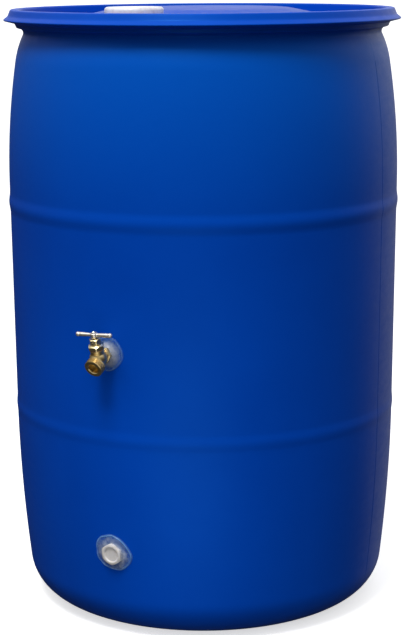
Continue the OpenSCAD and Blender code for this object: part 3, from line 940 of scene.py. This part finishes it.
def build_tap_body():
    """One brass casting: shank, wrench hexagon, globe, bonnet seat and threaded spout."""
    shank_r = 10.6
    tube_r = 9.6
    globe_r = 12.5
    neck_r = 9.9
    neck_top = BODY_TOP - 0.1
    shank_thread = outside_thread(shank_r, depth=0.9, pitch=PIPE_PITCH, start=-13.8, end=-0.5, run=1)
    shank_rows = line((shank_r, -13), (shank_r, 0), 40)
    shank = lathe([(0, -14), (tube_r, -14), (shank_r, -13)] + shank_rows + [(shank_r, 0), (shank_r, 5.5),
        (0, 5.5)], 96, shape=shank_thread)
    wrench_profile, hexed = hexagon(flats=22, bottom=5, top=12, face=0.96)
    wrench = closed_lathe([(0.5, 5)] + wrench_profile, 144, shape=hexed)
    tube = lathe(rod(tube_r, 10, VALVE_OUT), 64)
    casting = make_object("tap_body_piece", wrench, tube, place=TAP_PLACE)
    globe = make_object("globe", lathe([(0, -globe_r)] + arc((0, 0), globe_r, -80, 80, 22)
        + [(0, globe_r)], 72), place=TAP_PLACE @ Matrix.Translation((0, -1, VALVE_OUT)))
    neck = make_object("neck", lathe(rounded(rod(neck_r, 0, neck_top), 0.6), 72), place=STEM_PLACE)
    collar = -HOSE_THREAD_H
    spout = make_object("spout", lathe(rounded([(0, -18), (11.2, -18), (11.6, collar - 2.6),
        (12.8, collar), (12.8, collar + 1.4), (0, collar + 1.4)], 1.2), 72), place=SPOUT_PLACE)
    combine(casting, "UNION", globe, neck, spout)
    cast_solid(casting, 0.45, 5)

    hose_r = OUTLET["dims"]["r_mm"]
    hose_thread = outside_thread(hose_r, depth=1.25, pitch=HOSE_PITCH, start=0.3 - HOSE_THREAD_H,
        end=-0.6, run=0.8, flat=0.3)
    thread_rows = line((hose_r, -HOSE_THREAD_H), (hose_r, -0.7), 60)
    thread = make_object("hose_thread", lathe([(0, -HOSE_THREAD_H), (hose_r - 1.2, -HOSE_THREAD_H),
        (hose_r, -HOSE_THREAD_H)] + thread_rows + [(hose_r, -0.7), (hose_r - 0.8, 0), (0, 0)], 120,
        shape=hose_thread), place=SPOUT_PLACE)
    machined_shank = make_object("shank", shank, place=TAP_PLACE)
    combine(casting, "UNION", thread, machined_shank)
    bore = make_object("bore", lathe([(0, -12), (7.5, -12), (7.5, -1.1), (8.8, 0.3),
        (8.8, 3), (0, 3)], 72), place=SPOUT_PLACE)
    waterway = make_object("waterway", lathe(rod(3.8, -20, VALVE_OUT + 1), 48), place=TAP_PLACE)
    seat_well = make_object("seat_well", lathe([(0, 0), (4.2, 0), (4.2, 5.2), (5.6, 5.2), (5.6, 4),
        (7.2, 4), (7.2, 9), (8.6, 9), (8.6, 20), (0, 20)], 72), place=STEM_PLACE)
    port = make_object("port", lathe(rod(1.9, -9, 6), 36),
        place=STEM_PLACE @ Matrix.Translation((0, -7.6, 0)))
    combine(casting, "DIFFERENCE", bore, waterway, seat_well, port)
    coat(casting, cast_brass, 34)
    put(casting, "drum", "cast_brass", "tap_body")


def build_bonnet():
    """The bonnet: a hexagon with turned corners, a threaded top and a threaded foot in the body."""
    thread_rows = [(5.8 - 0.35 * (i % 2), HEX_TOP + 0.5 + i * 0.45) for i in range(11)]
    foot_rows = [(8.55 - 0.4 * (i % 2), BODY_TOP + 0.2 - i * 0.6) for i in range(8)]
    hex_profile, hexed = hexagon(flats=21, bottom=HEX_BOTTOM, top=HEX_TOP, face=0.8)
    profile = ([(3.0, BONNET_TOP), (3.0, 24), (4.5, 24), (4.5, 15.5), (7, 15.5), (7, 9), (8.1, 9)]
        + foot_rows[::-1] + [(8.6, HEX_BOTTOM)] + hex_profile
        + [(6.6, HEX_TOP), (5.9, HEX_TOP + 0.3)] + thread_rows + [(5.3, BONNET_TOP)])
    bonnet = make_object("bonnet_piece", closed_lathe(profile, 144, shape=hexed), place=STEM_PLACE,
        material=bright_brass, smooth_angle=28)
    put(bonnet, "drum", "turned_brass", "bonnet")


def build_packing_nut():
    """A thin hexagonal cap that is hollow underneath and screws onto the bonnet."""
    hex_profile, hexed = hexagon(flats=15, bottom=NUT_BOTTOM, top=NUT_TOP, face=0.86, corner=0.25,
        turn=rad(12), bottom_drop=math.inf)
    profile = ([(3.15, NUT_TOP), (3.15, 28.6), (5.85, 28.6), (5.85, NUT_BOTTOM)]
        + hex_profile + [(4.4, NUT_TOP)])
    nut = make_object("packing_nut_piece", closed_lathe(profile, 144, shape=hexed), place=STEM_PLACE,
        material=bright_brass, smooth_angle=28)
    put(nut, "drum", "turned_brass", "packing_nut")


def build_handle():
    """The cast tee: a hub with a square hole, and arms that swell into round ends."""
    knob_r = 3.6
    knob_x = TEE_LENGTH / 2 - knob_r
    arm_root = (2.5, 7)
    arm_tip = (3.2, 18)
    place = STEM_PLACE @ Matrix.Rotation(rad(TEE_TURN), 4, "Z")
    hub = make_object("tee_handle_piece",
        lathe(rounded([(0, HUB_BOTTOM + 0.05), (4.7, HUB_BOTTOM + 0.05), (5.3, HUB_BOTTOM + 1.6),
            (5.3, HUB_TOP - 1.6), (4.4, HUB_TOP - 0.05), (0, HUB_TOP - 0.05)], 0.8), 64), place=place)
    arms = []
    for side in (-1, 1):
        profile = ([(0, 0), (2.7, 0), (2.6, 5), arm_root] + line(arm_root, arm_tip, 6)
            + [arm_tip] + arc((0, knob_x), knob_r, -34, 84, 12) + [(0, knob_x + knob_r)])
        centre = place @ Vector((0, 0, ARM_HEIGHT))
        direction = place.to_3x3() @ Vector((side, 0, 0))
        arms.append(make_object("arm", lathe(profile, 48), place=frame_at(centre, direction, STEM_AXIS)))
    combine(hub, "UNION", *arms)
    cast_solid(hub, 0.3, 3)
    square = block("square", (4.12, 4.12, 12), (0, 0, (HUB_BOTTOM + HUB_TOP) / 2), place)
    combine(hub, "DIFFERENCE", square)
    coat(hub, handle_brass, 40)
    put(hub, "handle", "cast_brass", "tee_handle")


def build_handle_screw():
    """A round-headed screw with a slot."""
    head_r = 3.2
    dome_r = 3.7
    dome = [(r * head_r / (dome_r * math.cos(rad(24))), z)
        for r, z in arc((0, HUB_TOP - 1.5), dome_r, 24, 84, 8)]
    profile = [(0, HUB_TOP - 5), (1.4, HUB_TOP - 5), (1.4, HUB_TOP), (head_r, HUB_TOP)] + dome \
        + [(0, HUB_TOP - 1.5 + dome_r)]
    screw = make_object("handle_screw_piece", lathe(profile, 64), place=STEM_PLACE)
    slot = block("slot", (10, 0.8, 2), (0, 0, HUB_TOP + 2.2), STEM_PLACE, turn=35)
    combine(screw, "DIFFERENCE", slot)
    coat(screw, screw_steel, 30)
    put(screw, "handle", "screw_steel", "handle_screw")


# ---- Sealant ----

# Each smear's radius at its fitting, the tap's greatest outer radius and the drain plug's mean one
TAP_SEAL_IN_R = 10.2
TAP_SEAL_R = 26.4
DRAIN_SEAL_IN_R = 12.9
DRAIN_SEAL_R = 28.3
# A smear's back lies this far inside the wall's face
SMEAR_SINK = 0.5
# The thickness at which silicone looks fully milky
FULL_THICKNESS = 5
# Where the painted highlight on the bead lies between the fitting and the edge, and how wide it is
BEAD_HIGHLIGHT_AT = 0.91
BEAD_HIGHLIGHT_WIDTH = 0.09


def smear(name, place, inner_r, edge_r, height, bead_highlight_strength, sides=144, rows=26):
    """Silicone spread on the wall around an axis.

    inner_r is where it meets the fitting, edge_r(angle) where it runs out on the wall, and
    height(t, angle) its thickness from t = 0 at the fitting to t = 1 at the edge. The last argument
    says how strong the painted highlight on its edge bead is.
    """
    verts = []
    origin = place.translation
    x_axis = place.to_3x3() @ Vector((1, 0, 0))
    y_axis = place.to_3x3() @ Vector((0, 1, 0))

    def on_wall(r, angle, out):
        flat = origin + (x_axis * math.cos(angle) + y_axis * math.sin(angle)) * r
        wall = wall_radius(flat.z) + out
        return (flat.x, -math.sqrt(wall ** 2 - flat.x ** 2), flat.z)

    def sunk(t, angle):
        return -SMEAR_SINK

    layers = [(i / rows, height) for i in range(rows + 1)] + [(1, sunk), (0, sunk)]
    for t, rise in layers:
        for column in range(sides):
            angle = TURN * column / sides
            r = inner_r + (edge_r(angle) - inner_r) * t
            verts.append(on_wall(r, angle, rise(t, angle)))
    faces = strip_faces(sides, len(layers))
    piece = make_object(name, (verts, faces), material=silicone, smooth_angle=60)
    thickness, bead = [], []
    for vertex in piece.data.vertices:
        point = vertex.co / MM
        rise = math.hypot(point.x, point.y) - wall_radius(point.z)
        across, up = (point - origin).dot(x_axis), (point - origin).dot(y_axis)
        angle = math.atan2(up, across)
        t = (math.hypot(across, up) - inner_r) / (edge_r(angle) - inner_r)
        thickness.append(max(0.0, min(1.0, rise / FULL_THICKNESS)))
        # The bead attribute is a painted highlight that brightens the colour along the edge bead
        bead.append(bead_highlight_strength * math.exp(-((t - BEAD_HIGHLIGHT_AT) / BEAD_HIGHLIGHT_WIDTH) ** 2))
    for attribute_name, values in (("thickness", thickness), ("bead", bead)):
        attribute = piece.data.attributes.new(attribute_name, "FLOAT", "POINT")
        attribute.data.foreach_set("value", values)
    return piece


def build_tap_sealant():
    def edge(angle):
        return TAP_SEAL_R * (0.955 + 0.028 * math.sin(2 * angle + 0.8) + 0.017 * math.sin(5 * angle + 2))

    def height(t, angle):
        mound = 7.4 * (1 - t) ** 2 * (1 + 0.12 * math.sin(3 * angle + 1) * math.sin(4 * t))
        film = 0.95 * (1 - 0.25 * math.sin(4 * angle + 3 * t))
        bead = max(0.0, 1 - ((t - 0.84) / 0.16) ** 2) if t > 0.84 else 0
        return (mound + film) * min(1, (1 - t) / 0.08) ** 0.5 + 0.5 * bead

    piece = smear("tap_sealant_smear", TAP_PLACE, TAP_SEAL_IN_R, edge, height, 0.45)
    put(piece, "drum", "sealant", "tap_sealant")


def build_drain_sealant():
    def edge(angle):
        outline = DRAIN_SEAL_R + 2 * math.cos(2 * (angle + rad(22))) + math.cos(angle - rad(130))
        uneven_edge = 0.5 * math.cos(3 * angle + rad(50)) + 0.5 * math.cos(5 * angle)
        return outline + uneven_edge + 0.3 * math.cos(7 * angle + 1) + 0.2 * math.cos(11 * angle)

    def height(t, angle):
        mound = 3.2 * (1 - t) ** 1.2 * (1 + 0.25 * math.sin(2 * angle + 5 * t))
        film = 1.3 + 0.35 * math.sin(3 * angle + 7 * t) + 0.2 * math.sin(9 * angle - 4 * t)
        bead = 0.9 * math.exp(-((t - 0.88) / 0.07) ** 2)
        return (mound + film) * min(1, (1 - t) / 0.07) ** 0.5 + bead * min(1, (1 - t) / 0.05)

    piece = smear("drain_sealant_smear", DRAIN_PLACE, DRAIN_SEAL_IN_R, edge, height, 0.9)
    put(piece, "drum", "sealant", "drain_sealant")


# ---- Drain plug ----


def build_drain_plug():
    """A moulded plug: a threaded hollow shank and a hexagonal head with a round recess."""
    flats, bottom, top = 30, 1, 8
    floor = top - 2
    face_r = flats / 2 * 0.93
    corner_r = flats / 2 / math.cos(TURN / 12)
    radii = [face_r + (corner_r - face_r) * t for t in (0.2, 0.4, 0.6, 0.8, 1)]
    thread_r = 13.2
    rows = line((thread_r, -13), (thread_r, 0), 44)
    profile = ([(0, 3), (9.5, 3), (9.5, -14), (12.4, -14), (thread_r, -13)] + rows
        + [(thread_r, 0), (thread_r, bottom), (face_r, bottom)]
        + [(r, bottom + 0.01) for r in radii] + [(r, top) for r in reversed(radii)]
        + rounded([(face_r, top), (11.4, top), (10, floor), (0, floor)], 0.8, 4))

    threaded = outside_thread(thread_r, depth=1.0, pitch=PIPE_PITCH, start=-13.8, end=-0.4, run=1)

    def formed(r, z, angle):
        if z < 0:
            return threaded(r, z, angle)
        if r <= face_r + TINY or z <= bottom:
            return r, z
        side = min(r, hexagon_r(flats, angle, 0.9, turn=rad(30)))
        drop = (side - face_r) * math.tan(rad(24)) + 0.35 * ((side - face_r) / (corner_r - face_r)) ** 2
        if z > (bottom + top) / 2:
            return side - 0.15, top - drop
        return side, bottom

    plug = make_object("drain_plug_piece", lathe(profile, 168, shape=formed), place=DRAIN_PLACE,
        material=plug_ivory, smooth_angle=38)
    put(plug, "drum", "plug_plastic", "drain_plug")


# ---- CAD nodes that keep their shape ----

KEPT_NODES = {
    "bonnet_washer": (fibre, "fibre_washer"),
    "stem": (bright_brass, "turned_brass"),
    "seat_washer": (gasket_rubber, "gasket_rubber"),
    "washer_screw": (bright_brass, "turned_brass"),
    "packing_ring": (graphite_packing, "packing"),
    "tap_thread_tape": (tape_white, "thread_tape"),
    "drain_thread_tape": (tape_white, "thread_tape"),
}


def finish_kept_nodes():
    for name, (material, slot_name) in KEPT_NODES.items():
        node = frame["nodes"][name]
        node.data.materials.clear()
        node.data.materials.append(material)


# ---- Stage, lights and camera ----

# Brightness of the studio around the drum
NEAR_WALL = 0.12
OVERHEAD = 0.76
BACK_WALL = 0.9
DARK_GROUND = 0.03
GREY_GROUND = 0.36


def build_floor():
    """A wide plain floor."""
    half = 90.0
    mesh = bpy.data.meshes.new("floor")
    mesh.from_pydata([(-half, -half, 0), (half, -half, 0), (half, half, 0), (-half, half, 0)], [],
        [(0, 1, 2, 3)])
    floor = new_object("floor", mesh)
    mesh.materials.append(floor_material())
    floor.location.z = -0.0005
    floor.visible_glossy = False
    floor.visible_diffuse = False


def area_light(name, place, target, size, power):
    """A round soft light that points at a target."""
    data = bpy.data.lights.new(name, "AREA")
    data.shape = "DISK"
    data.size = size
    data.energy = power
    light = new_object(name, data)
    light.location = place
    light.rotation_euler = (Vector(target) - Vector(place)).to_track_quat("-Z", "Y").to_euler()


def around(azimuth, distance, height):
    """A place around the drum, at an azimuth from the tap's side towards +X."""
    return (distance * math.sin(rad(azimuth)), -distance * math.cos(rad(azimuth)), height)


def build_world():
    """A dark studio with a soft overhead, a white wall behind and a grey wall to the right of it."""
    world = bpy.data.worlds.new("studio")
    bpy.context.scene.world = world
    world.use_nodes = True
    add = node_adder(world.node_tree)
    direction = add("ShaderNodeTexCoord").outputs["Generated"]

    def along(vector):
        """How far each direction points along a vector, from -1 to 1."""
        node = add("ShaderNodeVectorMath", {0: direction, 1: vector}, operation="DOT_PRODUCT")
        return node.outputs["Value"]

    def ramp(value, low_in, high_in, low_out, high_out):
        """The value, eased from one range to another."""
        node = add("ShaderNodeMapRange", {
            "Value": value, "From Min": low_in, "From Max": high_in,
            "To Min": low_out, "To Max": high_out}, interpolation_type="SMOOTHSTEP")
        return node.outputs["Result"]

    up = along((0, 0, 1))
    overhead = ramp(up, 0.1, 0.65, NEAR_WALL, OVERHEAD)
    upper = ramp(along(around(180, 1, 0)), 0.45, 0.9, overhead, BACK_WALL)
    lower = ramp(along(around(172, 1, 0)), 0.82, 0.95, DARK_GROUND, GREY_GROUND)
    background = add("ShaderNodeBackground", {
        "Color": (1, 1, 1, 1), "Strength": ramp(up, -0.05, 0.06, lower, upper)})
    add("ShaderNodeOutputWorld", {"Surface": background.outputs[0]})


CAMERA_AZIMUTH = 28
CAMERA_DISTANCE = 2.6086
CAMERA_HEIGHT = 0.9579
CAMERA_PITCH = 12.92
CAMERA_ROLL = -0.37
CAMERA_LENS = 98.3
CAMERA_SHIFT_Y = 0.063


def build_camera():
    data = bpy.data.cameras.new("camera")
    data.lens = CAMERA_LENS
    data.shift_y = CAMERA_SHIFT_Y
    camera = new_object("camera", data)
    camera.location = around(CAMERA_AZIMUTH, CAMERA_DISTANCE, CAMERA_HEIGHT)
    level = Matrix.Rotation(rad(CAMERA_AZIMUTH), 4, "Z")
    tilt = Matrix.Rotation(rad(90 - CAMERA_PITCH), 4, "X")
    roll = Matrix.Rotation(rad(CAMERA_ROLL), 4, "Z")
    camera.rotation_euler = (level @ tilt @ roll).to_euler()
    bpy.context.scene.camera = camera


build_camera()
build_drum()
build_bungs()
build_tap_body()
build_bonnet()
build_packing_nut()
build_handle()
build_handle_screw()
build_tap_sealant()
build_drain_sealant()
build_drain_plug()
finish_kept_nodes()
build_floor()
build_world()
area_light("key", around(5, 1.95, 3.7), target=(0, 0, 0.55), size=1.25, power=82)
area_light("card", around(-42, 1.7, 2.1), target=(0, -0.28, 0.45), size=0.9, power=2)
area_light("bounce", around(20, 0.85, 0.03), target=(0, 0, 0.1), size=0.6, power=1.3)
bpy.context.scene.view_settings.view_transform = "Standard"
